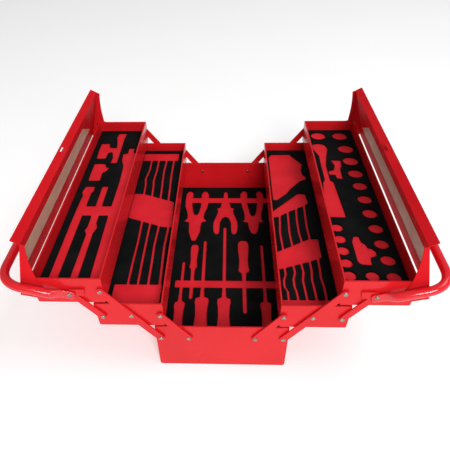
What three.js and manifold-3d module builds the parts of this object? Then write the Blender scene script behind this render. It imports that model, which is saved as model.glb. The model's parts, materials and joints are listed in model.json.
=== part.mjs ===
// Five-tray cantilever toolbox, shown fully open.
// Millimetres, +X to the right, +Y to the rear along the trays, +Z up, origin under the base.
// Every piece is shaped for the right half; the left half is the same piece turned half a turn about Z.

import * as THREE from 'three';
import { mergeVertices } from 'three/addons/utils/BufferGeometryUtils.js';
import ManifoldModule from 'manifold-3d';

const manifoldKit = await ManifoldModule();
manifoldKit.setup();

// ---- driving dimensions ----
const TRAY_LENGTH = 450;
const SHEET = 1.2;
const GAP = 0.3;
const HEM_HEIGHT = 9;
const TRAY_WIDTH = 99;
const TRAY_CORNER = 3;

const BASE_TOP_HALF = 100;
const BASE_BOTTOM_HALF = 99;
const BASE_HEIGHT = 94;
const BASE_CORNER = 5;

const MIDDLE_INNER_X = 84.3;
const MIDDLE_BOTTOM_Z = 97.6;
const MIDDLE_TOP_Z = 144;
const UPPER_INNER_X = 164.2;
const UPPER_BOTTOM_Z = 147.9;
const UPPER_TOP_Z = 195;
const TRAY_TAPER = 2;

const FOAM_SIDE_GAP = 0.6;
const FOAM_END_GAP = 1.5;
const FOAM_TOP_BASE = 28;
const FOAM_TOP_MIDDLE = 126.5;
const FOAM_TOP_UPPER = 175;
const FOAM_CORNER = 4;

// Pivots of the right-hand linkage, [x, z]
const PIVOT_SPACING = 41.8;
const OUTER_PIVOT_DROP = 2.5;
const LOWER_ARM = [38.7, 51.4];
const UPPER_ARM = [38.1, 50.6];
const B1 = [50, 70.8];
const B2 = [B1[0] + PIVOT_SPACING, B1[1]];
const M1 = [B1[0] + LOWER_ARM[0], B1[1] + LOWER_ARM[1]];
const M2 = [B2[0] + LOWER_ARM[0], B2[1] + LOWER_ARM[1]];
const M3 = [M2[0] + PIVOT_SPACING, M2[1] - OUTER_PIVOT_DROP];
const U1 = [M2[0] + UPPER_ARM[0], M2[1] + UPPER_ARM[1]];
const U2 = [M3[0] + UPPER_ARM[0], M3[1] + UPPER_ARM[1]];

// Corners of the link's gusset, [x, z] from the pivot U2
const GUSSET = [[0, -4], [0, 7], [-21, 7], [-18, -6]];

// Layers outward from the tray end wall
const LID_PLATE_THICKNESS = 0.9;
const BAR_THICKNESS = 2;
const BAR_HALF_WIDTH = 5.7;
const LINK_HALF_WIDTH = 5.2;
const END_WALL_Y = TRAY_LENGTH / 2;
const LID_PLATE_Y = END_WALL_Y + GAP;
const BAR_Y = LID_PLATE_Y + LID_PLATE_THICKNESS + GAP;
const PAD_Y = BAR_Y + BAR_THICKNESS + GAP;
const PAD_THICKNESS = 2.8;

// Lid, drawn in its own section: t up the roof from the outer edge, d inward from the roof face
const LID_TILT = THREE.MathUtils.degToRad(14.6);
const LID_EDGE = [283, 163.5];
const ROOF_LENGTH = 100;
const ROOF_THICKNESS = 1;
const ROOF_START = 3;
const FLANGE_LENGTH = 12.5;
const FLANGE_LEAN = THREE.MathUtils.degToRad(14);
const LID_PIVOT_T = 15;
const LID_PIVOT_D = 28;
const LID_EAR_RADIUS = 6.5;
const EAR_ANGLES = [48, 76, 104, 132, 160];
const PLATE_SWEEP = [[99, 6.5], [87, 8], [71, 11.3], [59, 14.6], [44, 19.6], [33, 24.2], [25, 29.5]];
const PLATE_SWEEP_STEPS = 14;
const PLATE_FOOT_DEPTH = 23;
const SLOT_LENGTH = 14;
const SLOT_WIDTH = 5.6;
const STAPLE_REACH = 9;
const STAPLE_THICKNESS = 2.4;
const STAPLE_SIDE_GAP = 2;
const STAPLE_EYE_RADIUS = 2;

// Handle
const TUBE_RADIUS = 6.8;
const HANDLE_TILT = THREE.MathUtils.degToRad(16.5);
const HANDLE_REACH = 95.5;
const HANDLE_BEND = 34;
const HANDLE_OFFSET = -0.5;
const PAD_HALF_HEIGHT = 7.5;
const PAD_DROP = 2;
const PAD_END = 7.5;
const PAD_CORNER = 4;
const TRANSITION_START = 8;
const TRANSITION_END = 24;
const TUBE_STANDOFF = 2.2;
const TUBE_Y = BAR_Y + TUBE_RADIUS + TUBE_STANDOFF;
const TUBE_SIDES = 12;
const TUBE_STEPS = 48;

// Rivets
const SHANK_RADIUS = 2.4;
const HOLE_RADIUS = 2.75;
const HEAD_RADIUS = 3.3;
const HEAD_HEIGHT = 1.5;
const INNER_HEAD_RADIUS = 2.9;
const INNER_HEAD_HEIGHT = 0.9;
const HEAD_ROUNDING = 0.75;
const HEAD_SIDES = 10;

const RED = { color: 0xc81420, roughness: 0.35, metalness: 0.1 };
const STEEL = { color: 0xb9bcc0, roughness: 0.3, metalness: 0.9 };
const FOAM = { color: 0x16191a, roughness: 0.95, metalness: 0 };

// ---- geometry helpers ----

function toManifold(geometry) {
  const bare = geometry.clone();
  bare.deleteAttribute('normal');
  bare.deleteAttribute('uv');
  const merged = mergeVertices(bare, 1e-4);
  return new manifoldKit.Manifold(new manifoldKit.Mesh({
    numProp: 3,
    vertProperties: new Float32Array(merged.attributes.position.array),
    triVerts: new Uint32Array(merged.index.array),
  }));
}

function toGeometry(solid) {
  const mesh = solid.getMesh();
  const geometry = new THREE.BufferGeometry();
  geometry.setAttribute('position', new THREE.BufferAttribute(mesh.vertProperties.slice(), 3));
  geometry.setIndex(new THREE.BufferAttribute(mesh.triVerts.slice(), 1));
  return geometry;
}

function combine(first, added, removed = []) {
  let solid = toManifold(first);
  for (const geometry of added) solid = solid.add(toManifold(geometry));
  for (const geometry of removed) solid = solid.subtract(toManifold(geometry));
  return toGeometry(solid);
}

// A shape drawn in X and Z becomes a plate between two Y values.
function plateAlongY(shape, yLow, yHigh, curveSegments = 5) {
  const geometry = new THREE.ExtrudeGeometry(shape, {
    depth: yHigh - yLow,
    bevelEnabled: false,
    curveSegments,
  });
  geometry.rotateX(Math.PI / 2);
  geometry.translate(0, yHigh, 0);
  return geometry;
}

function pinAlongY([x, z], radius, yLow, yHigh, sides = 12) {
  const geometry = new THREE.CylinderGeometry(radius, radius, yHigh - yLow, sides);
  geometry.translate(x, (yLow + yHigh) / 2, z);
  return geometry;
}

// The two ends of the box: -1 is the front, +1 the rear.
function endSpan(end, near, far) {
  return end > 0 ? [near, far] : [-far, -near];
}

// ---- trays ----

// Section of a tray: straight sides closing in a little towards rounded lower corners.
function traySection(xLeft, xRight, zBottom, zTop, taper, radius) {
  const low = [xLeft + taper[0], xRight - taper[1]];
  const shape = new THREE.Shape();
  shape.moveTo(low[0] + radius, zBottom);
  shape.lineTo(low[1] - radius, zBottom);
  shape.quadraticCurveTo(low[1], zBottom, low[1], zBottom + radius);
  shape.lineTo(xRight, zTop);
  shape.lineTo(xLeft, zTop);
  shape.lineTo(low[0], zBottom + radius);
  shape.quadraticCurveTo(low[0], zBottom, low[0] + radius, zBottom);
  return shape;
}

function rectangle(xLeft, xRight, zBottom, zTop) {
  const shape = new THREE.Shape();
  shape.moveTo(xLeft, zBottom);
  shape.lineTo(xRight, zBottom);
  shape.lineTo(xRight, zTop);
  shape.lineTo(xLeft, zTop);
  return shape;
}

// Open tray with a folded hem inside the rim and rivet holes through both end walls.
function tray({ xLeft, xRight, zBottom, zTop, taper, radius, pivots }) {
  const halfLength = END_WALL_Y;
  const curve = 4;
  const outside = plateAlongY(
    traySection(xLeft, xRight, zBottom, zTop, taper, radius), -halfLength, halfLength, curve);
  const cavity = plateAlongY(
    traySection(xLeft + SHEET, xRight - SHEET, zBottom + SHEET, zTop - HEM_HEIGHT, taper, radius - SHEET),
    -halfLength + SHEET, halfLength - SHEET, curve);
  const mouth = plateAlongY(
    rectangle(xLeft + 2 * SHEET, xRight - 2 * SHEET, zTop - HEM_HEIGHT - 1, zTop + 1),
    -halfLength + 2 * SHEET, halfLength - 2 * SHEET);
  const holes = pivots.flatMap((pivot) => [-1, 1].map((end) => (
    pinAlongY(pivot, HOLE_RADIUS, ...endSpan(end, halfLength - SHEET - 1, halfLength + 1)))));
  return combine(outside, [], [cavity, mouth, ...holes]);
}

function baseTray() {
  const mirrored = [B1, B2].map(([x, z]) => [-x, z]);
  const taper = BASE_TOP_HALF - BASE_BOTTOM_HALF;
  return tray({
    xLeft: -BASE_TOP_HALF,
    xRight: BASE_TOP_HALF,
    zBottom: 0,
    zTop: BASE_HEIGHT,
    taper: [taper, taper],
    radius: BASE_CORNER,
    pivots: [B1, B2, ...mirrored],
  });
}

function middleTray() {
  return tray({
    xLeft: MIDDLE_INNER_X,
    xRight: MIDDLE_INNER_X + TRAY_WIDTH,
    zBottom: MIDDLE_BOTTOM_Z,
    zTop: MIDDLE_TOP_Z,
    taper: [0, TRAY_TAPER],
    radius: TRAY_CORNER,
    pivots: [M1, M2, M3],
  });
}

function upperTray() {
  return tray({
    xLeft: UPPER_INNER_X,
    xRight: UPPER_INNER_X + TRAY_WIDTH,
    zBottom: UPPER_BOTTOM_Z,
    zTop: UPPER_TOP_Z,
    taper: [0, TRAY_TAPER],
    radius: TRAY_CORNER,
    pivots: [U1, U2, lidPivot()],
  });
}

// ---- foam inserts ----

function foamSlab(xLeft, xRight, zBottom, zTop, taper) {
  const inset = SHEET + FOAM_SIDE_GAP;
  const halfLength = END_WALL_Y - SHEET - FOAM_END_GAP;
  const section = traySection(
    xLeft + inset + taper[0], xRight - inset - taper[1], zBottom + SHEET + GAP, zTop, [0, 0], FOAM_CORNER);
  return plateAlongY(section, -halfLength, halfLength, 4);
}

function baseFoam() {
  const taper = BASE_TOP_HALF - BASE_BOTTOM_HALF;
  return foamSlab(-BASE_TOP_HALF, BASE_TOP_HALF, 0, FOAM_TOP_BASE, [taper, taper]);
}

function middleFoam() {
  const outerX = MIDDLE_INNER_X + TRAY_WIDTH;
  return foamSlab(MIDDLE_INNER_X, outerX, MIDDLE_BOTTOM_Z, FOAM_TOP_MIDDLE, [0, TRAY_TAPER]);
}

function upperFoam() {
  const outerX = UPPER_INNER_X + TRAY_WIDTH;
  return foamSlab(UPPER_INNER_X, outerX, UPPER_BOTTOM_Z, FOAM_TOP_UPPER, [0, TRAY_TAPER]);
}

// ---- lids ----

function lidPoint(t, d) {
  const s = Math.sin(LID_TILT);
  const c = Math.cos(LID_TILT);
  return [LID_EDGE[0] - s * t - c * d, LID_EDGE[1] + c * t - s * d];
}

function lidPivot() {
  return lidPoint(LID_PIVOT_T, LID_PIVOT_D);
}

function lidShape(points) {
  return new THREE.Shape(points.map(([t, d]) => new THREE.Vector2(...lidPoint(t, d))));
}

// Roof sheet with a flange along the meeting edge; its lower edge stops short of the end plates.
function roofSection() {
  const riseT = Math.sin(FLANGE_LEAN);
  const riseD = -Math.cos(FLANGE_LEAN);
  const tip = [ROOF_LENGTH + FLANGE_LENGTH * riseT, FLANGE_LENGTH * riseD];
  return lidShape([
    [ROOF_START, 0],
    [ROOF_LENGTH - ROOF_THICKNESS, 0],
    [tip[0] - ROOF_THICKNESS, tip[1]],
    tip,
    [ROOF_LENGTH, ROOF_THICKNESS],
    [ROOF_START, ROOF_THICKNESS],
  ]);
}

// End plate: deep at the hinge, sweeping down to a narrow strip at the meeting edge.
function lidPlateSection() {
  const sweep = new THREE.SplineCurve(PLATE_SWEEP.map(([t, d]) => new THREE.Vector2(t, d)));
  const curve = sweep.getPoints(PLATE_SWEEP_STEPS).map((point) => [point.x, point.y]);
  const ear = EAR_ANGLES.map((angle) => {
    const turn = THREE.MathUtils.degToRad(angle);
    return [
      LID_PIVOT_T + LID_EAR_RADIUS * Math.cos(turn),
      LID_PIVOT_D + LID_EAR_RADIUS * Math.sin(turn),
    ];
  });
  const plateTop = ROOF_LENGTH - ROOF_THICKNESS / 2;
  return lidShape([[0, 0], [plateTop, 0], ...curve, ...ear, [0, PLATE_FOOT_DEPTH]]);
}

function lid(side) {
  const length = LID_PLATE_Y + LID_PLATE_THICKNESS;
  const roof = plateAlongY(roofSection(), -length, length);
  const plates = [-1, 1].map((end) => (
    plateAlongY(lidPlateSection(), ...endSpan(end, LID_PLATE_Y, length))));
  const holes = [-1, 1].map((end) => (
    pinAlongY(lidPivot(), HOLE_RADIUS, ...endSpan(end, LID_PLATE_Y - 1, length + 1))));
  if (side < 0) holes.push(flangeSlot());
  return combine(roof, plates, holes);
}

// Middle of the flange, measured from its root.
function flangePoint(reach, lift) {
  const t = ROOF_LENGTH - ROOF_THICKNESS / 2 + reach * Math.sin(FLANGE_LEAN) + lift * Math.cos(FLANGE_LEAN);
  const d = -reach * Math.cos(FLANGE_LEAN) + lift * Math.sin(FLANGE_LEAN);
  return new THREE.Vector2(...lidPoint(t, d));
}

function flangeSlot() {
  const near = FLANGE_LENGTH / 2 - SLOT_WIDTH / 2;
  const far = FLANGE_LENGTH / 2 + SLOT_WIDTH / 2;
  const section = new THREE.Shape([
    flangePoint(near, -3), flangePoint(far, -3), flangePoint(far, 3), flangePoint(near, 3)]);
  return plateAlongY(section, -SLOT_LENGTH / 2, SLOT_LENGTH / 2);
}

// Staple that stands on the right flange and passes through the slot of the left one.
function haspStaple() {
  const near = (FLANGE_LENGTH - STAPLE_THICKNESS) / 2;
  const far = (FLANGE_LENGTH + STAPLE_THICKNESS) / 2;
  const foot = ROOF_THICKNESS / 2 + GAP;
  const section = new THREE.Shape([
    flangePoint(near, foot), flangePoint(far, foot),
    flangePoint(far, STAPLE_REACH), flangePoint(near, STAPLE_REACH)]);
  const halfWidth = SLOT_LENGTH / 2 - STAPLE_SIDE_GAP;
  const middle = flangePoint(FLANGE_LENGTH / 2, (STAPLE_REACH + foot) / 2);
  const eye = new THREE.CylinderGeometry(STAPLE_EYE_RADIUS, STAPLE_EYE_RADIUS, STAPLE_REACH, 14);
  eye.rotateZ(Math.PI / 2);
  eye.rotateY(LID_TILT - FLANGE_LEAN);
  eye.translate(middle.x, 0, middle.y);
  return combine(plateAlongY(section, -halfWidth, halfWidth), [], [eye]);
}

// ---- bars and links ----

function flatBar(from, to, holes, yLow, yHigh, halfWidth = BAR_HALF_WIDTH) {
  const length = Math.hypot(to[0] - from[0], to[1] - from[1]);
  const angle = Math.atan2(to[1] - from[1], to[0] - from[0]);
  const shape = new THREE.Shape();
  shape.absarc(0, 0, halfWidth, Math.PI / 2, 1.5 * Math.PI, false);
  shape.absarc(length, 0, halfWidth, -Math.PI / 2, Math.PI / 2, false);
  const bar = plateAlongY(shape, yLow, yHigh);
  bar.rotateY(-angle);
  bar.translate(from[0], 0, from[1]);
  const pins = holes.map((pivot) => pinAlongY(pivot, HOLE_RADIUS, yLow - 1, yHigh + 1));
  return combine(bar, [], pins);
}

function longBar(end) {
  return flatBar(B2, U1, [B2, M2, U1], ...endSpan(end, BAR_Y, BAR_Y + BAR_THICKNESS));
}

function innerBar(end) {
  return flatBar(B1, M1, [B1, M1], ...endSpan(end, BAR_Y, BAR_Y + BAR_THICKNESS));
}

// Link from the handle pad down to the outer pivot of the middle tray, with a gusset at the pad.
function outerLink(end) {
  const span = endSpan(end, BAR_Y, BAR_Y + BAR_THICKNESS);
  const strip = flatBar(M3, U2, [M3], ...span, LINK_HALF_WIDTH);
  const gusset = new THREE.Shape(GUSSET.map(([x, z]) => new THREE.Vector2(U2[0] + x, U2[1] + z)));
  const hole = pinAlongY(U2, HOLE_RADIUS, span[0] - 1, span[1] + 1);
  return combine(strip, [plateAlongY(gusset, ...span)], [hole]);
}

// ---- handles ----

// Centreline of the tube in the handle's own frame: x along the legs, y along the box.
function tubePath() {
  const path = new THREE.CurvePath();
  const bendX = HANDLE_REACH - HANDLE_BEND;
  const bendY = TUBE_Y - HANDLE_BEND;
  const start = TRANSITION_END - 1;
  const point = (x, y) => new THREE.Vector3(x, y, 0);
  path.add(new THREE.LineCurve3(point(start, -TUBE_Y), point(bendX, -TUBE_Y)));
  path.add(new THREE.QuadraticBezierCurve3(
    point(bendX, -TUBE_Y), point(HANDLE_REACH, -TUBE_Y), point(HANDLE_REACH, -bendY)));
  path.add(new THREE.LineCurve3(point(HANDLE_REACH, -bendY), point(HANDLE_REACH, bendY)));
  path.add(new THREE.QuadraticBezierCurve3(
    point(HANDLE_REACH, bendY), point(HANDLE_REACH, TUBE_Y), point(bendX, TUBE_Y)));
  path.add(new THREE.LineCurve3(point(bendX, TUBE_Y), point(start, TUBE_Y)));
  return path;
}

function roundTube() {
  const circle = new THREE.Shape();
  circle.absarc(0, 0, TUBE_RADIUS, 0, 2 * Math.PI, false);
  return new THREE.ExtrudeGeometry(circle, {
    steps: TUBE_STEPS,
    curveSegments: TUBE_SIDES / 2,
    bevelEnabled: false,
    extrudePath: tubePath(),
  });
}

// Flattened end of the tube: a pad against the link, opening out into the round leg.
function flattenedEnd(end) {
  const pad = new THREE.Shape();
  const top = PAD_HALF_HEIGHT - PAD_DROP;
  const bottom = -PAD_HALF_HEIGHT - PAD_DROP;
  const cornerX = PAD_CORNER - PAD_END;
  pad.absarc(cornerX, top - PAD_CORNER, PAD_CORNER, Math.PI / 2, Math.PI, false);
  pad.absarc(cornerX, bottom + PAD_CORNER, PAD_CORNER, Math.PI, 1.5 * Math.PI, false);
  pad.lineTo(TRANSITION_START + 1, bottom);
  pad.lineTo(TRANSITION_START + 1, top);
  const padPlate = plateAlongY(pad, ...endSpan(end, PAD_Y, PAD_Y + PAD_THICKNESS));

  const length = TRANSITION_END - TRANSITION_START;
  const flare = new THREE.CylinderGeometry(TUBE_RADIUS, PAD_HALF_HEIGHT, length, 20);
  flare.rotateZ(-Math.PI / 2);
  flare.translate(TRANSITION_START + length / 2, end * TUBE_Y, 0);
  const slope = PAD_DROP / length;
  flare.applyMatrix4(new THREE.Matrix4().set(
    1, 0, 0, 0, 0, 1, 0, 0, slope, 0, 1, -slope * TRANSITION_END, 0, 0, 0, 1));

  const wedge = new THREE.Shape([
    new THREE.Vector2(TRANSITION_START, end * PAD_Y),
    new THREE.Vector2(TRANSITION_END, end * (TUBE_Y - TUBE_RADIUS)),
    new THREE.Vector2(TRANSITION_END, end * (TUBE_Y + TUBE_RADIUS)),
    new THREE.Vector2(TRANSITION_START, end * (PAD_Y + PAD_THICKNESS)),
  ]);
  const wedgeSolid = new THREE.ExtrudeGeometry(wedge, { depth: 4 * PAD_HALF_HEIGHT, bevelEnabled: false });
  wedgeSolid.translate(0, 0, -2 * PAD_HALF_HEIGHT);
  return toManifold(padPlate).add(toManifold(flare).intersect(toManifold(wedgeSolid)));
}

function handle() {
  let solid = toManifold(roundTube());
  for (const end of [-1, 1]) solid = solid.add(flattenedEnd(end));
  const geometry = toGeometry(solid);
  geometry.translate(0, 0, HANDLE_OFFSET);
  geometry.rotateY(-HANDLE_TILT);
  geometry.translate(U2[0], 0, U2[1]);
  const holes = [-1, 1].map((end) => (
    pinAlongY(U2, HOLE_RADIUS, ...endSpan(end, PAD_Y - 1, PAD_Y + PAD_THICKNESS + 1))));
  return combine(geometry, [], holes);
}

// ---- rivets ----

// Headed rivet from inside the end wall to outside the layer that ends at outerY.
function rivet(pivot, end, outerY) {
  const inner = END_WALL_Y - SHEET - GAP / 3;
  const outer = outerY + GAP / 3;
  const profile = [
    [0, inner - INNER_HEAD_HEIGHT],
    [INNER_HEAD_RADIUS * HEAD_ROUNDING, inner - INNER_HEAD_HEIGHT],
    [INNER_HEAD_RADIUS, inner],
    [SHANK_RADIUS, inner],
    [SHANK_RADIUS, outer],
    [HEAD_RADIUS, outer],
    [HEAD_RADIUS * HEAD_ROUNDING, outer + HEAD_HEIGHT * HEAD_ROUNDING],
    [0, outer + HEAD_HEIGHT],
  ].map(([radius, y]) => new THREE.Vector2(radius, y));
  const geometry = new THREE.LatheGeometry(profile, HEAD_SIDES);
  if (end < 0) geometry.rotateX(Math.PI);
  geometry.translate(pivot[0], 0, pivot[1]);
  return geometry;
}

// ---- assembly ----

const SIDES = [{ name: 'left', sign: -1 }, { name: 'right', sign: 1 }];
const ENDS = [{ name: 'front', sign: -1 }, { name: 'rear', sign: 1 }];

function addPiece(group, name, geometry, finish) {
  const material = new THREE.MeshStandardMaterial(finish);
  const mesh = new THREE.Mesh(geometry, material);
  mesh.name = name;
  group.add(mesh);
}

// The left half is the right half turned about Z, so its front comes from the right rear.
function forSide(build, side) {
  const geometry = build(side.sign);
  if (side.sign < 0) geometry.rotateZ(Math.PI);
  return geometry;
}

function forCorner(build, side, end) {
  return forSide(() => build(side.sign * end.sign), side);
}

function addTrays(group) {
  addPiece(group, 'base_tray', baseTray(), RED);
  addPiece(group, 'foam_base', baseFoam(), FOAM);
  for (const side of SIDES) {
    addPiece(group, `middle_tray_${side.name}`, forSide(middleTray, side), RED);
    addPiece(group, `foam_middle_${side.name}`, forSide(middleFoam, side), FOAM);
    addPiece(group, `upper_tray_${side.name}`, forSide(upperTray, side), RED);
    addPiece(group, `foam_upper_${side.name}`, forSide(upperFoam, side), FOAM);
  }
}

function addLinkage(group) {
  const barTop = BAR_Y + BAR_THICKNESS;
  const padTop = PAD_Y + PAD_THICKNESS;
  const plateTop = LID_PLATE_Y + LID_PLATE_THICKNESS;
  const pivots = { b1: B1, b2: B2, m1: M1, m2: M2, m3: M3, u1: U1, u2: U2 };
  for (const side of SIDES) {
    addPiece(group, `lid_${side.name}`, forSide(lid, side), RED);
    addPiece(group, `handle_${side.name}`, forSide(handle, side), RED);
    for (const end of ENDS) {
      const corner = `${side.name}_${end.name}`;
      addPiece(group, `long_bar_${corner}`, forCorner(longBar, side, end), RED);
      addPiece(group, `inner_bar_${corner}`, forCorner(innerBar, side, end), RED);
      addPiece(group, `outer_link_${corner}`, forCorner(outerLink, side, end), RED);
      for (const [name, pivot] of Object.entries(pivots)) {
        const outerY = name === 'u2' ? padTop : barTop;
        const build = (sign) => rivet(pivot, sign, outerY);
        addPiece(group, `rivet_${name}_${corner}`, forCorner(build, side, end), STEEL);
      }
      const buildLidRivet = (sign) => rivet(lidPivot(), sign, plateTop);
      addPiece(group, `rivet_lid_${corner}`, forCorner(buildLidRivet, side, end), RED);
    }
  }
  addPiece(group, 'hasp_staple', haspStaple(), RED);
}

const toolbox = new THREE.Group();
toolbox.name = 'toolbox_with_tray';
addTrays(toolbox);
addLinkage(toolbox);

export default toolbox;
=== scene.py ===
"""Looks for the five-tray cantilever toolbox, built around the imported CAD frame. Metres, +Z up."""

import json
import math

import bmesh
import bpy
from mathutils import Matrix, Vector

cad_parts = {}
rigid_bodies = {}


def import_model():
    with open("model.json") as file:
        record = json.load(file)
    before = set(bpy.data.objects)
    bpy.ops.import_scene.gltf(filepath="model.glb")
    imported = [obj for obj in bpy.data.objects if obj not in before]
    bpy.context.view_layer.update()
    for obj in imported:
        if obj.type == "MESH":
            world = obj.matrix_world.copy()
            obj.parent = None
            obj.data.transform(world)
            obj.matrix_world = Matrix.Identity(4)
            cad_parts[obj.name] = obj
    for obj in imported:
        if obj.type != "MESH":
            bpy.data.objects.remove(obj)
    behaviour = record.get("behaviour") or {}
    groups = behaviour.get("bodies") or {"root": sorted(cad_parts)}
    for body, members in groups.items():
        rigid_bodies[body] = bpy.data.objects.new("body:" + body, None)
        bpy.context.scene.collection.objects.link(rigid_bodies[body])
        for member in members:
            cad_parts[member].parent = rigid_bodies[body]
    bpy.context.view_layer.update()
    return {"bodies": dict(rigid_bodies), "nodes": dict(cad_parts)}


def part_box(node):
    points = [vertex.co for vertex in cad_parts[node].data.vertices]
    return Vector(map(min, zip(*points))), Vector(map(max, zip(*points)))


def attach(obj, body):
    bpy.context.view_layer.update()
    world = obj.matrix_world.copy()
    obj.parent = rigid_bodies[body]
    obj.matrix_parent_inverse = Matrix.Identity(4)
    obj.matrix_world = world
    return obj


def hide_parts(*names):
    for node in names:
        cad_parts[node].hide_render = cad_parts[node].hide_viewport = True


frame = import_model()

MM = 0.001
SIDES = {"left": -1, "right": 1}
NOISE_SPAN = (0.3, 0.7)

# ---- design dimensions, millimetres, right-hand half ----
MIDDLE_INNER_X = 84.3
UPPER_INNER_X = 164.2

TRAY_EDGE = 1.0
PIECE_EDGE = 0.4
EDGE_WELD = 0.01

FOAM_SKIN = 3.0
FOAM_HEEL = 8.0
FOAM_EDGE = 0.45
FOAM_RIM = 3.0
POCKET_CORNER = 2.5
SLOT_WIDTH = 4.2

LID_EDGE = (283.0, 163.5)
LID_TILT = math.radians(14.6)
ROOF_THICKNESS = 1.0
LID_PLATE_INNER_Y = 225.3
LID_PLATE_OUTER_Y = 226.2
LABEL_T = (40.0, 79.0)
LABEL_FRONT_Y = -221.0
LABEL_REAR_Y = 182.0
LABEL_SLANT = 70.0
LABEL_THICKNESS = 0.3
LABEL_LIFT = 0.05
LABEL_EDGE = 0.08
STUD_T = 29.5
STUD_D = 8.5
STUD_RADIUS = 2.3
STUD_HEAD_HEIGHT = 0.9
STUD_TAIL_HEIGHT = 0.2

TUBE_RADIUS = 6.6
TUBE_Y = 235.5
PAD_INNER_Y = 228.8
PAD_THICKNESS = 2.8
PAD_HALF_HEIGHT = 7.4
PAD_DROP = 2.0
PAD_TIP = 7.4
PAD_END = 9.0
ROUND_START = 26.0
HANDLE_REACH = 95.5
HANDLE_BEND = 34.0
HANDLE_OFFSET = -0.5
HANDLE_TILT = math.radians(16.5)
HANDLE_PIVOT = (210.4, 170.3)

RIVET_SHANK = 2.4
RIVET_HEAD = 3.3
RIVET_HEAD_HEIGHT = 1.5
RIVET_RIM = 0.4
RIVET_TAIL = 2.9
RIVET_TAIL_HEIGHT = 0.9

FLOOR_HALF = 6000.0
FLOOR_LEVEL = -0.6
LIGHT_AIM = Vector((0, 0, 0.1))
WORLD_STRENGTH = 0.36


# ---- camera ----

CAMERA_PLACE = (0.0112, -0.6649, 0.6629)
CAMERA_PITCH = math.radians(39.671)
CAMERA_YAW = math.radians(-3.154)
CAMERA_ROLL = math.radians(-1.797)
CAMERA_LENS = 37.91
CAMERA_SENSOR = 36.0
CAMERA_SHIFT = (0.0342, -0.0071)


def make_camera():
    """A camera in front of the box and above it, looking down at the open trays."""
    data = bpy.data.cameras.new("camera")
    data.sensor_width = CAMERA_SENSOR
    data.lens = CAMERA_LENS
    data.shift_x, data.shift_y = CAMERA_SHIFT
    camera = bpy.data.objects.new("camera", data)
    bpy.context.scene.collection.objects.link(camera)
    heading = Matrix.Rotation(-CAMERA_YAW, 4, "Z")
    turn = heading @ Matrix.Rotation(math.pi / 2 - CAMERA_PITCH, 4, "X")
    place = Matrix.Translation(CAMERA_PLACE)
    camera.matrix_world = place @ turn @ Matrix.Rotation(CAMERA_ROLL, 4, "Z")
    bpy.context.scene.camera = camera


# ---- material helpers ----

class Finish:
    """One procedural material: a Principled shader with its texture nodes in object space."""

    def __init__(self, name, color, roughness, **sockets):
        self.material = bpy.data.materials.new(name)
        self.material.use_nodes = True
        self.tree = self.material.node_tree
        self.shader = self.tree.nodes["Principled BSDF"]
        self.shader.inputs["Base Color"].default_value = (*color, 1.0)
        self.shader.inputs["Roughness"].default_value = roughness
        for socket, value in sockets.items():
            self.shader.inputs[socket.replace("_", " ")].default_value = value
        self.place = self.tree.nodes.new("ShaderNodeTexCoord").outputs["Object"]
        self.height = None

    def stretched(self, scale):
        """Object coordinates scaled differently along each axis."""
        mapping = self.tree.nodes.new("ShaderNodeMapping")
        mapping.inputs["Scale"].default_value = scale
        self.tree.links.new(self.place, mapping.inputs["Vector"])
        return mapping.outputs["Vector"]

    def noise(self, scale, detail=3.0, vector=None):
        node = self.tree.nodes.new("ShaderNodeTexNoise")
        node.inputs["Scale"].default_value = scale
        node.inputs["Detail"].default_value = detail
        self.tree.links.new(vector or self.place, node.inputs["Vector"])
        return node.outputs["Fac"]

    def cells(self, scale):
        node = self.tree.nodes.new("ShaderNodeTexVoronoi")
        node.inputs["Scale"].default_value = scale
        self.tree.links.new(self.place, node.inputs["Vector"])
        return node.outputs["Distance"]

    def vary_color(self, value, low, high):
        ramp = self.tree.nodes.new("ShaderNodeValToRGB")
        for stop, position, color in zip(ramp.color_ramp.elements, NOISE_SPAN, (low, high)):
            stop.position = position
            stop.color = (*color, 1.0)
        self.tree.links.new(value, ramp.inputs["Fac"])
        self.tree.links.new(ramp.outputs["Color"], self.shader.inputs["Base Color"])

    def vary_roughness(self, value, low, high):
        node = self.tree.nodes.new("ShaderNodeMapRange")
        sockets = ("From Min", "From Max", "To Min", "To Max")
        for socket, number in zip(sockets, (*NOISE_SPAN, low, high)):
            node.inputs[socket].default_value = number
        self.tree.links.new(value, node.inputs["Value"])
        self.tree.links.new(node.outputs["Result"], self.shader.inputs["Roughness"])

    def bump(self, value, distance, strength=1.0):
        node = self.tree.nodes.new("ShaderNodeBump")
        node.inputs["Distance"].default_value = distance
        node.inputs["Strength"].default_value = strength
        self.tree.links.new(value, node.inputs["Height"])
        if self.height:
            self.tree.links.new(self.height, node.inputs["Normal"])
        self.height = node.outputs["Normal"]
        self.tree.links.new(self.height, self.shader.inputs["Normal"])


def red_enamel():
    """Glossy stoved enamel with faint orange peel and slightly duller, handled patches."""
    finish = Finish("red_enamel", (0.64, 0.010, 0.015), 0.2, Specular_IOR_Level=0.12,
                    Coat_Weight=0.15, Coat_Roughness=0.06)
    finish.vary_color(finish.noise(9.0), (0.60, 0.010, 0.014), (0.68, 0.013, 0.019))
    finish.vary_roughness(finish.noise(38.0, 5.0), 0.15, 0.3)
    finish.bump(finish.noise(420.0, 1.0), 0.000015)
    finish.bump(finish.noise(14.0, 1.0), 0.0004, 0.5)
    return finish.material


def satin_enamel():
    """The same red, rolled thinner and duller on the swing-up lids."""
    finish = Finish("lid_enamel", (0.62, 0.011, 0.016), 0.5, Specular_IOR_Level=0.015)
    finish.vary_color(finish.noise(9.0), (0.57, 0.009, 0.014), (0.66, 0.013, 0.019))
    finish.vary_roughness(finish.noise(38.0, 5.0), 0.44, 0.58)
    finish.bump(finish.noise(14.0, 1.0), 0.0004, 0.5)
    return finish.material


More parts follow.
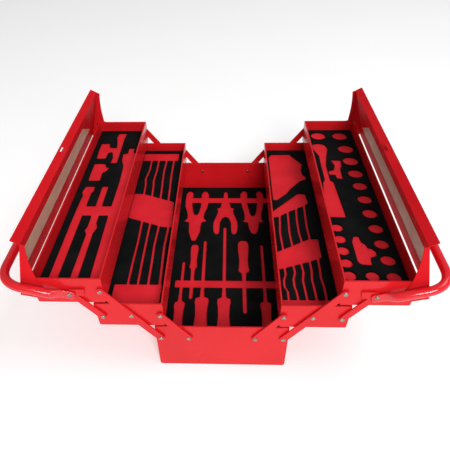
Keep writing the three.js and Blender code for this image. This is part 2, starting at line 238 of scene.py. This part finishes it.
def tube_enamel():
    """The same enamel on the round handles, with fine scuffs along the grip; its base colour is a
    touch lighter than the trays', painted light.
    """
    finish = Finish("handle_enamel", (0.66, 0.010, 0.018), 0.1, Specular_IOR_Level=0.5)
    finish.vary_color(finish.noise(12.0), (0.62, 0.008, 0.016), (0.70, 0.012, 0.021))
    finish.vary_roughness(finish.noise(1.0, 4.0, finish.stretched((300, 25, 300))), 0.07, 0.16)
    finish.bump(finish.noise(380.0, 1.0), 0.000015)
    return finish.material


def black_foam():
    """Matt closed-cell foam skin."""
    finish = Finish("black_foam", (0.005, 0.006, 0.006), 0.85, Specular_IOR_Level=0.06)
    finish.vary_color(finish.noise(30.0, 4.0), (0.003, 0.004, 0.004), (0.007, 0.008, 0.008))
    finish.vary_roughness(finish.noise(160.0), 0.78, 0.95)
    finish.bump(finish.cells(900.0), 0.0002, 0.6)
    return finish.material


def red_foam():
    """The bright lower foam layer that shows where pockets are cut."""
    finish = Finish("red_foam", (0.70, 0.014, 0.026), 0.55, Specular_IOR_Level=0.2)
    finish.vary_color(finish.noise(24.0, 3.0), (0.64, 0.011, 0.021), (0.76, 0.018, 0.032))
    finish.vary_roughness(finish.noise(120.0), 0.5, 0.68)
    finish.bump(finish.cells(900.0), 0.0002, 0.5)
    return finish.material


def bright_steel():
    """Plated steel with fine turning marks and a few dull spots."""
    finish = Finish("bright_steel", (0.30, 0.33, 0.28), 0.3, Metallic=1.0)
    finish.vary_color(finish.noise(260.0, 3.0), (0.16, 0.18, 0.15), (0.42, 0.46, 0.40))
    finish.vary_roughness(finish.noise(500.0, 3.0), 0.16, 0.36)
    finish.bump(finish.noise(1.0, 2.0, finish.stretched((900, 200, 900))), 0.00004)
    return finish.material


def stud_steel_painted_shade():
    """Steel of the small lid studs, coloured dark as painted shade."""
    finish = Finish("stud_steel_painted_shade", (0.05, 0.045, 0.045), 0.35, Metallic=0.9)
    finish.vary_color(finish.noise(400.0, 3.0), (0.035, 0.030, 0.030), (0.08, 0.07, 0.07))
    finish.vary_roughness(finish.noise(600.0, 2.0), 0.28, 0.5)
    finish.bump(finish.noise(700.0, 2.0), 0.00004)
    return finish.material


def label_film():
    """Plain tan adhesive strip with a satin face and faint rubbed patches."""
    finish = Finish("label_film", (0.62, 0.42, 0.30), 0.5, Specular_IOR_Level=0.1)
    finish.vary_color(finish.noise(40.0, 5.0), (0.56, 0.37, 0.26), (0.68, 0.47, 0.34))
    finish.vary_roughness(finish.noise(90.0, 4.0), 0.34, 0.55)
    finish.bump(finish.noise(500.0, 2.0), 0.00003)
    return finish.material


def pale_floor():
    finish = Finish("pale_floor", (0.88, 0.88, 0.88), 0.8, Specular_IOR_Level=0.1,
                    Emission_Color=(1.0, 1.0, 1.0, 1.0), Emission_Strength=0.27)
    finish.vary_color(finish.noise(3.0), (0.87, 0.87, 0.87), (0.89, 0.89, 0.89))
    return finish.material


MATERIALS = {
    "red_enamel": red_enamel(),
    "lid_enamel": satin_enamel(),
    "handle_enamel": tube_enamel(),
    "black_foam": black_foam(),
    "red_foam": red_foam(),
    "bright_steel": bright_steel(),
    "stud_steel_painted_shade": stud_steel_painted_shade(),
    "label_film": label_film(),
}


# ---- mesh helpers ----

def new_piece(name, mesh_data, materials, smooth=None):
    """An object from (vertices in mm, faces, material index of each face or None)."""
    vertices, faces, indices = mesh_data
    mesh = bpy.data.meshes.new(name)
    mesh.from_pydata([Vector(v) * MM for v in vertices], [], faces)
    for key in materials:
        mesh.materials.append(MATERIALS[key])
    if indices:
        mesh.polygons.foreach_set("material_index", indices)
    work = bmesh.new()
    work.from_mesh(mesh)
    bmesh.ops.recalc_face_normals(work, faces=work.faces)
    work.to_mesh(mesh)
    work.free()
    if smooth is not None:
        mesh.shade_smooth()
        mesh.set_sharp_from_angle(angle=math.radians(smooth))
    piece = bpy.data.objects.new(name, mesh)
    bpy.context.scene.collection.objects.link(piece)
    return piece


def prism(outline, low, high, axis=2):
    """A closed outline extruded along one axis, in millimetres."""
    count = len(outline)

    def at(point, level):
        return (point[0], point[1], level) if axis == 2 else (point[0], level, point[1])

    vertices = [at(p, low) for p in outline] + [at(p, high) for p in outline]
    faces = [tuple(range(count)), tuple(range(count, 2 * count))]
    for i in range(count):
        j = (i + 1) % count
        faces.append((i, j, j + count, i + count))
    return vertices, faces, None


def rounded(outline, radius, steps=3):
    """Replaces each corner of a closed outline by a small arc."""
    result = []
    count = len(outline)
    for i in range(count):
        corner = Vector(outline[i])
        before = Vector(outline[i - 1]) - corner
        after = Vector(outline[(i + 1) % count]) - corner
        start = corner + before.normalized() * min(radius, before.length * 0.45)
        end = corner + after.normalized() * min(radius, after.length * 0.45)
        for step in range(steps + 1):
            k = step / steps
            point = start * (1 - k) ** 2 + corner * 2 * k * (1 - k) + end * k ** 2
            result.append(tuple(point))
    return result


def merged(first, second):
    """Two sets of mesh data as one, with the material indices 0 and 1."""
    shift = len(first[0])
    faces = list(first[1]) + [tuple(i + shift for i in face) for face in second[1]]
    indices = [0] * len(first[1]) + [1] * len(second[1])
    return list(first[0]) + list(second[0]), faces, indices


def add_bevel(piece, width, segments, angle, harden=True):
    bevel = piece.modifiers.new("soft_edges", "BEVEL")
    bevel.width = width * MM
    bevel.segments = segments
    bevel.limit_method = "ANGLE"
    bevel.angle_limit = math.radians(angle)
    bevel.harden_normals = harden


# ---- foam pockets, millimetres ----
# Outlines are (s, y): y runs to the rear, and s outward from the tray's inner wall,
# or in the base to the right from its middle.

def box_pocket(s_low, s_high, y_low, y_high):
    return [(s_low, y_low), (s_high, y_low), (s_high, y_high), (s_low, y_high)]


def socket_pocket(s, y, radius):
    steps = 28
    turns = (2 * math.pi * i / steps for i in range(steps))
    return [(s + radius * math.cos(turn), y + radius * math.sin(turn)) for turn in turns]


def slot_pocket(points):
    """A narrow slot that follows a bent line towards the front."""
    half = SLOT_WIDTH / 2
    return [(s - half, y) for s, y in points] + [(s + half, y) for s, y in reversed(points)]


def mirrored_pocket(centre, half_profile):
    """Outline from its right-hand half, given as (distance from the centre line, y)."""
    right = [(centre + d, y) for d, y in half_profile]
    left = [(centre - d, y) for d, y in reversed(half_profile) if d > 0]
    return right + left


def open_pliers(centre, tip_y, profile):
    return mirrored_pocket(centre, [(d, tip_y + rise) for d, rise in profile])


LONG_PLIERS = [
    (4, 0), (11.5, 28), (13, 58), (25, 62), (17, 75), (18.5, 90), (24.5, 112), (26, 140),
    (25, 160), (21, 170), (14, 170), (9.5, 163), (9, 140), (9.5, 118), (6, 94), (3, 86), (0, 86),
]
SHORT_PLIERS = [
    (0, 0), (6, 6), (10, 22), (11, 38), (23, 41), (17.5, 52), (17.5, 66), (22, 90), (26, 120),
    (25, 142), (19, 152), (12, 150), (10, 138), (11, 106), (6.5, 72), (3, 63), (0, 63),
]
WIDE_PLIERS = [
    (0, 210), (4, 204), (5, 188), (5.5, 168), (10, 164), (11, 151), (21, 147), (16, 140),
    (17.5, 130), (25, 102), (25.5, 86), (24, 68), (20, 60), (14, 61), (12, 71), (11.5, 96),
    (7, 112), (0, 117),
]


def driver_pocket(centre, handle_end, handle_length, handle_half, shaft_half, tip_y):
    """A screwdriver: waisted handle, shoulder and long shaft."""
    toward = 1 if tip_y > handle_end else -1
    along = handle_length * toward
    profile = [
        (handle_half * 0.6, handle_end),
        (handle_half * 0.97, handle_end + along * 0.08),
        (handle_half, handle_end + along * 0.3),
        (handle_half * 0.78, handle_end + along * 0.62),
        (handle_half * 0.84, handle_end + along * 0.8),
        (handle_half * 0.97, handle_end + along * 0.9),
        (handle_half * 0.92, handle_end + along * 0.97),
        (handle_half * 0.75, handle_end + along),
        (shaft_half * 1.25, handle_end + along * 1.01),
        (shaft_half, handle_end + along * 1.2),
        (shaft_half, tip_y - 3 * toward),
        (shaft_half * 0.5, tip_y),
    ]
    return mirrored_pocket(centre, profile)


BASE_POCKETS = [
    open_pliers(-61, 40, LONG_PLIERS),
    mirrored_pocket(2.5, WIDE_PLIERS),
    open_pliers(60.5, 60, SHORT_PLIERS),
    box_pocket(-71, 99, 165, 186),
    box_pocket(-88, 99, -86, -66),
    driver_pocket(-57, 31, 68, 7.8, 3.4, -113),
    driver_pocket(-37, -214, 107, 13, 3.2, 42),
    driver_pocket(1.8, -214, 106, 12.5, 3.2, 84),
    driver_pocket(38, 43, 90, 10.5, 3.5, -144),
    driver_pocket(74, -214, 98, 10, 2.8, 31),
    driver_pocket(-75.5, -214, 97, 10, 2.9, -18),
]

MIDDLE_LEFT_POCKETS = [
    box_pocket(13, 88, 182, 213),
    slot_pocket([(69, 190), (69, 147), (73, 118), (70, 97), (69, 60)]),
    slot_pocket([(54, 190), (54, 147), (56, 111), (54, 90), (52.5, 52)]),
    slot_pocket([(37.5, 190), (39, 139), (37, 90), (35.5, 46)]),
    slot_pocket([(22, 190), (22.5, 128), (21, 90), (20, 40)]),
    [(88, 68), (69, 67), (9, 42), (6, -34), (21, -34), (88, -8)],
    slot_pocket([(61, -8), (60, -68), (61, -122), (61, -172)]),
    slot_pocket([(45.5, -14), (46, -76), (46, -121), (45.5, -172)]),
    slot_pocket([(29, -20), (31, -81), (30, -121), (29.5, -172)]),
    slot_pocket([(12, -28), (14, -81), (13, -121), (11.5, -172)]),
    box_pocket(8, 82, -215, -168),
]

MIDDLE_RIGHT_POCKETS = [
    [(8, 195), (14, 208), (53, 208), (76, 170), (71, 150), (72, 132), (79, 122), (75, 112),
     (64, 107), (42, 79), (35, 66), (15, 45), (8, 46)],
    [(5, 14), (56, 68), (69, 67), (72, 36), (61, 27), (32, 9), (13, -5), (5, -6)],
    slot_pocket([(17, 8), (16, -19), (14, -46), (16, -96)]),
    slot_pocket([(32, 14), (31, -19), (30, -46), (32, -90)]),
    slot_pocket([(48, 22), (46, -13), (46, -46), (49, -78)]),
    slot_pocket([(63, 34), (62, 1), (61, -30), (62.5, -72)]),
    [(5, -93), (61, -61), (76, -61), (76, -108), (66, -113), (52, -119), (5, -136)],
    slot_pocket([(14, -126), (15, -146), (11, -158), (11, -173), (15, -180), (15, -200)]),
    slot_pocket([(28, -122), (30, -141), (26, -156), (26, -173), (28, -180), (29, -200)]),
    slot_pocket([(41, -116), (43, -141), (40, -158), (41, -176), (42, -200)]),
    slot_pocket([(55, -112), (56, -136), (54, -156), (55, -174), (56, -200)]),
    slot_pocket([(69, -104), (69, -132), (68, -151), (70, -172), (70, -200)]),
    box_pocket(5, 77, -216, -196),
]

UPPER_LEFT_POCKETS = [
    [(86, 173), (69, 173), (66, 158), (52, 157), (55, 180), (59, 200), (57, 214), (40, 214),
     (42, 190), (41, 98), (54, 98), (53, 122), (57, 138), (65, 135), (66, 114), (84, 114),
     (86, 145)],
    [(15, 154), (26, 154), (26, 136), (35, 133), (33, 108), (27, 90), (25, 41), (26, -60),
     (24, -215), (3, -215), (3, 134), (15, 138)],
    [(84, 98), (63, 98), (60, 88), (52, 83), (55, 71), (62, 64), (61, 39), (83, 39), (84, 60)],
    [(83, 23), (66, 23), (65, 5), (68, 2), (69, -60), (70, -215), (84, -215), (84, -79),
     (83, -20), (82, -3), (86, 5)],
    box_pocket(41.5, 53, -45, 23),
    box_pocket(23, 78, -62, -34),
    [(54, -56), (41, -56), (41, -82), (37, -92), (41, -106), (41, -215), (53, -215),
     (52, -106), (57, -98), (54, -88)],
]

SOCKET_COLUMN = [
    (73, 148, 15), (74, 104, 14.5), (75, 62, 13.5), (75, 23, 12.5), (75, -16, 12),
    (75, -54, 12), (76, -92, 11.5), (76, -128, 11), (77, -163, 11), (77, -197, 10.5),
]
UPPER_RIGHT_POCKETS = [
    socket_pocket(27, 199, 15),
    socket_pocket(70, 198, 15),
    *(socket_pocket(*socket) for socket in SOCKET_COLUMN),
    *(socket_pocket(16, y, 9.8) for y in (-90, -117, -143, -169, -194)),
    socket_pocket(48, -195, 9.8),
    [(8, 160), (12, 168), (23, 171), (35, 166), (39, 151), (32, 120), (27, 90), (27, 42),
     (32, 38), (36, -65), (8, -64), (8, -7), (13, 37), (17, 42), (17, 90), (18, 121), (10, 147)],
    [(37, 110), (57, 108), (55, 88), (51, 79), (50, 44), (39, 46), (38, 58), (27, 58), (28, 73),
     (39, 76), (42, 88)],
    [(38, -109), (46, -109), (47, -122), (53, -128), (54, -136), (59, -136), (65, -144),
     (64, -153), (58, -157), (54, -157), (53, -174), (36, -172), (33, -166), (33, -124)],
]


# ---- foam inserts ----

def foam_insert(node, body, pockets, inner_x, side):
    """Black foam with tool pockets cut through to the red layer underneath."""
    low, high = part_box(node)
    x0, y0, z0 = (value / MM for value in low)
    x1, y1, z1 = (value / MM for value in high)
    floor_z = z1 - FOAM_SKIN
    bow = FOAM_HEEL * 0.3
    left_heel = [(x0, floor_z), (x0, z0 + FOAM_HEEL), (x0 + bow, z0 + bow), (x0 + FOAM_HEEL, z0)]
    right_heel = [(x1 - FOAM_HEEL, z0), (x1 - bow, z0 + bow), (x1, z0 + FOAM_HEEL), (x1, floor_z)]
    lower = prism(left_heel + right_heel, y0, y1, axis=1)
    skin = prism(box_pocket(x0, x1, y0, y1), floor_z + 0.02, z1)
    top = new_piece(node + "_skin", skin, ["black_foam"])
    cutters = []
    for number, outline in enumerate(pockets):
        placed = [(side * (inner_x + s), y) for s, y in outline]
        held = [(min(max(x, x0 - 1), x1 + 1), min(max(y, y0 + FOAM_RIM), y1 - FOAM_RIM))
                for x, y in placed]
        block = prism(rounded(held, POCKET_CORNER), floor_z - 2, z1 + 2)
        cutter = new_piece(f"cutter_{number}", block, [])
        cut = top.modifiers.new("pocket", "BOOLEAN")
        cut.operation = "DIFFERENCE"
        cut.solver = "EXACT"
        cut.object = cutter
        cutters.append(cutter)
    add_bevel(top, FOAM_EDGE, 2, 50, harden=False)
    graph = bpy.context.evaluated_depsgraph_get()
    cut_mesh = bpy.data.meshes.new_from_object(top.evaluated_get(graph))
    vertices = [tuple(vertex.co / MM) for vertex in cut_mesh.vertices]
    faces = [tuple(face.vertices) for face in cut_mesh.polygons]
    for spare in (*cutters, top):
        bpy.data.objects.remove(spare)
    both = merged((vertices, faces, None), lower)
    name = "foam_insert_" + node.removeprefix("foam_")
    piece = new_piece(name, both, ["black_foam", "red_foam"])
    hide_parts(node)
    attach(piece, body)


def make_foam():
    foam_insert("foam_base", "base", BASE_POCKETS, 0.0, 1)
    foam_insert("foam_middle_left", "middle_left", MIDDLE_LEFT_POCKETS, MIDDLE_INNER_X, -1)
    foam_insert("foam_middle_right", "middle_right", MIDDLE_RIGHT_POCKETS, MIDDLE_INNER_X, 1)
    foam_insert("foam_upper_left", "upper_left", UPPER_LEFT_POCKETS, UPPER_INNER_X, -1)
    foam_insert("foam_upper_right", "upper_right", UPPER_RIGHT_POCKETS, UPPER_INNER_X, 1)


# ---- handles ----

HANDLE_STEPS = 8
BEND_STEPS = 12


def handle_stations():
    """Sections along the tube, in the handle's own frame: centre, in-plane normal, sizes, drop."""
    pad_y = PAD_INNER_Y + PAD_THICKNESS / 2
    round_off = PAD_TIP / 2
    stations = []
    for step in range(HANDLE_STEPS + 1):
        turn = math.pi / 2 * step / HANDLE_STEPS
        x = -PAD_TIP + round_off * (1 - math.cos(turn))
        height = PAD_HALF_HEIGHT - round_off * (1 - math.sin(turn))
        stations.append((x, -pad_y, (0, -1), PAD_THICKNESS / 2, height, PAD_DROP))
    for step in range(HANDLE_STEPS + 1):
        k = step / HANDLE_STEPS
        ease = k * k * (3 - 2 * k)
        x = PAD_END + (ROUND_START - PAD_END) * k
        y = pad_y + (TUBE_Y - pad_y) * ease
        thickness = PAD_THICKNESS / 2 + (TUBE_RADIUS - PAD_THICKNESS / 2) * ease
        height = PAD_HALF_HEIGHT + (TUBE_RADIUS - PAD_HALF_HEIGHT) * ease
        stations.append((x, -y, (0, -1), thickness, height, PAD_DROP * (1 - ease)))
    first = Vector((HANDLE_REACH - HANDLE_BEND, -TUBE_Y))
    corner = Vector((HANDLE_REACH, -TUBE_Y))
    last = Vector((HANDLE_REACH, HANDLE_BEND - TUBE_Y))
    for step in range(BEND_STEPS + 1):
        k = step / BEND_STEPS
        centre = first * (1 - k) ** 2 + corner * 2 * k * (1 - k) + last * k ** 2
        tangent = ((corner - first) * (1 - k) + (last - corner) * k).normalized()
        stations.append((centre.x, centre.y, (tangent.y, -tangent.x), TUBE_RADIUS, TUBE_RADIUS, 0))
    mirrored = [(x, -y, (normal[0], -normal[1]), *sizes)
                for x, y, normal, *sizes in reversed(stations)]
    return stations + [(HANDLE_REACH, 0, (1, 0), TUBE_RADIUS, TUBE_RADIUS, 0)] + mirrored


def handle_data(side):
    around = 28
    vertices = []
    stations = handle_stations()
    for x, y, normal, thickness, height, drop in stations:
        squareness = 1 - 0.55 * (1 - min(thickness / TUBE_RADIUS, 1))
        for step in range(around):
            turn = 2 * math.pi * step / around
            out = math.copysign(abs(math.cos(turn)) ** squareness, math.cos(turn)) * thickness
            up = math.copysign(abs(math.sin(turn)) ** squareness, math.sin(turn)) * height
            point = (x + normal[0] * out, y + normal[1] * out, up - drop)
            vertices.append(place_on_handle(point, side))
    faces = [tuple(range(around)), tuple(range(len(vertices) - around, len(vertices)))]
    for ring in range(len(stations) - 1):
        for step in range(around):
            a = ring * around + step
            b = ring * around + (step + 1) % around
            faces.append((a, b, b + around, a + around))
    return vertices, faces, None


def place_on_handle(point, side):
    """From the handle's own frame to the open box, with the left one turned half a turn."""
    x, y, z = point[0], point[1], point[2] + HANDLE_OFFSET
    across = HANDLE_PIVOT[0] + x * math.cos(HANDLE_TILT) - z * math.sin(HANDLE_TILT)
    rise = HANDLE_PIVOT[1] + x * math.sin(HANDLE_TILT) + z * math.cos(HANDLE_TILT)
    return (side * across, side * y, rise)


def make_handles():
    for name, side in SIDES.items():
        grip = new_piece(f"tube_handle_{name}", handle_data(side), ["handle_enamel"], smooth=50)
        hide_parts(f"handle_{name}")
        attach(grip, f"grip_{name}")


# ---- rivets ----

def lathe_data(profile, centre, sign, steps=28):
    """A profile of (radius, y) turned about an axis along Y; the head points to sign * Y."""
    vertices = [(centre[0], sign * profile[0][1], centre[1])]
    for radius, y in profile[1:-1]:
        for step in range(steps):
            turn = 2 * math.pi * step / steps
            x = centre[0] + radius * math.cos(turn)
            z = centre[1] + radius * math.sin(turn)
            vertices.append((x, sign * y, z))
    vertices.append((centre[0], sign * profile[-1][1], centre[1]))
    last = len(vertices) - 1
    faces = []
    for step in range(steps):
        after = (step + 1) % steps
        faces.append((0, 1 + step, 1 + after))
        faces.append((last, last - steps + step, last - steps + after))
        for ring in range(len(profile) - 3):
            a = 1 + ring * steps
            faces.append((a + step, a + after, a + after + steps, a + step + steps))
    return vertices, faces, None


def domed(base_y, radius, height, steps=6):
    """Points of a rounded head, from its rim to its crown."""
    turns = (math.pi / 2 * step / steps for step in range(steps + 1))
    return [(radius * math.cos(turn), base_y + height * math.sin(turn)) for turn in turns]


def turned_in(base_y, radius, height, steps=6):
    """The same rounded head pointing the other way, from its crown to its rim."""
    return [(r, 2 * base_y - y) for r, y in reversed(domed(base_y, radius, height, steps))]


def rivet_profile(near, far):
    shoulder = far - RIVET_HEAD_HEIGHT
    tail = near + RIVET_TAIL_HEIGHT
    tail_dome = turned_in(tail, RIVET_TAIL, RIVET_TAIL_HEIGHT)
    head_dome = domed(shoulder + RIVET_RIM, RIVET_HEAD, RIVET_HEAD_HEIGHT - RIVET_RIM)
    shank = [(RIVET_SHANK, tail), (RIVET_SHANK, shoulder), (RIVET_HEAD, shoulder)]
    return [*tail_dome, *shank, *head_dome]


def make_rivets():
    for node in sorted(name for name in frame["nodes"] if name.startswith("rivet_")):
        low, high = (Vector(corner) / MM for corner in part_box(node))
        sign = 1 if low.y > 0 else -1
        near, far = sorted((abs(low.y), abs(high.y)))
        centre = ((low.x + high.x) / 2, (low.z + high.z) / 2)
        metal = "red_enamel" if "_lid_" in node else "bright_steel"
        turned = lathe_data(rivet_profile(near, far), centre, sign)
        piece = new_piece("domed_" + node, turned, [metal], smooth=40)
        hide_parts(node)
        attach(piece, body_of_node(node))


def body_of_node(node):
    """The body that carries a CAD node, from the object it is parented to."""
    owner = frame["nodes"][node].parent
    return next(name for name, body in frame["bodies"].items() if body == owner)


# ---- lid details ----

def lid_point(t, d):
    """A point of the right lid's section: t up the roof from its edge, d in from its face."""
    sine, cosine = math.sin(LID_TILT), math.cos(LID_TILT)
    return (LID_EDGE[0] - sine * t - cosine * d, LID_EDGE[1] + cosine * t - sine * d)


def label_data(side):
    """A thin strip on the roof's inner face, cut on a slant at the rear."""
    vertices = []
    for depth in (ROOF_THICKNESS + LABEL_LIFT, ROOF_THICKNESS + LABEL_THICKNESS):
        for t, rear_y in zip(LABEL_T, (LABEL_REAR_Y, LABEL_REAR_Y - LABEL_SLANT)):
            x, z = lid_point(t, depth)
            vertices.append((side * x, LABEL_FRONT_Y, z))
            vertices.append((side * x, rear_y, z))
    faces = [(0, 1, 3, 2), (4, 5, 7, 6), (0, 1, 5, 4), (2, 3, 7, 6), (0, 2, 6, 4), (1, 3, 7, 5)]
    return vertices, faces, None


def make_lid_details():
    for name, side in SIDES.items():
        label = new_piece(f"label_strip_{name}", label_data(side), ["label_film"])
        add_bevel(label, LABEL_EDGE, 1, 60)
        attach(label, f"cover_{name}")
        x, z = lid_point(STUD_T, STUD_D)
        tail = turned_in(LID_PLATE_INNER_Y, STUD_RADIUS, STUD_TAIL_HEIGHT, 2)
        head = domed(LID_PLATE_OUTER_Y, STUD_RADIUS, STUD_HEAD_HEIGHT, 4)
        turned = lathe_data([*tail, *head], (side * x, z), 1, 20)
        # The studs' dark steel colour is painted shade.
        stud = new_piece(f"stud_{name}_rear", turned, ["stud_steel_painted_shade"], smooth=40)
        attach(stud, f"cover_{name}")


# ---- carried-over CAD pieces ----

def finish_frame():
    """Enamel on every CAD piece that stays, with rounded sheet edges."""
    for name, node in frame["nodes"].items():
        if name.startswith(("foam_", "rivet_", "handle_")):
            continue
        for slot in node.material_slots:
            slot.material = MATERIALS["lid_enamel" if name.startswith("lid_") else "red_enamel"]
        weld = node.modifiers.new("joined_edges", "WELD")
        weld.merge_threshold = EDGE_WELD * MM
        add_bevel(node, TRAY_EDGE if "tray" in name else PIECE_EDGE, 3, 40)


# ---- stage ----

def make_stage():
    corners = box_pocket(-FLOOR_HALF, FLOOR_HALF, -FLOOR_HALF, FLOOR_HALF)
    vertices = [(x, y, FLOOR_LEVEL) for x, y in corners]
    floor = new_piece("floor", (vertices, [(0, 1, 2, 3)], None), [])
    floor.data.materials.append(pale_floor())


def area_light(name, place, size, power):
    data = bpy.data.lights.new(name, "AREA")
    data.shape = "RECTANGLE"
    data.size, data.size_y = size
    data.energy = power
    light = bpy.data.objects.new(name, data)
    light.location = place
    light.rotation_euler = (LIGHT_AIM - Vector(place)).to_track_quat("-Z", "Y").to_euler()
    bpy.context.scene.collection.objects.link(light)


def make_light():
    world = bpy.data.worlds.new("studio")
    world.use_nodes = True
    background = world.node_tree.nodes["Background"]
    background.inputs["Color"].default_value = (1.0, 1.0, 1.0, 1.0)
    background.inputs["Strength"].default_value = WORLD_STRENGTH
    bpy.context.scene.world = world
    area_light("key", (0.8, -3.4, 2.7), (1.6, 1.6), 130)
    area_light("top", (1.8, 0.0, 3.4), (2.4, 1.6), 38)
    bpy.context.scene.view_settings.view_transform = "Standard"


make_camera()
make_stage()
make_light()
finish_frame()
make_foam()
make_handles()
make_rivets()
make_lid_details()
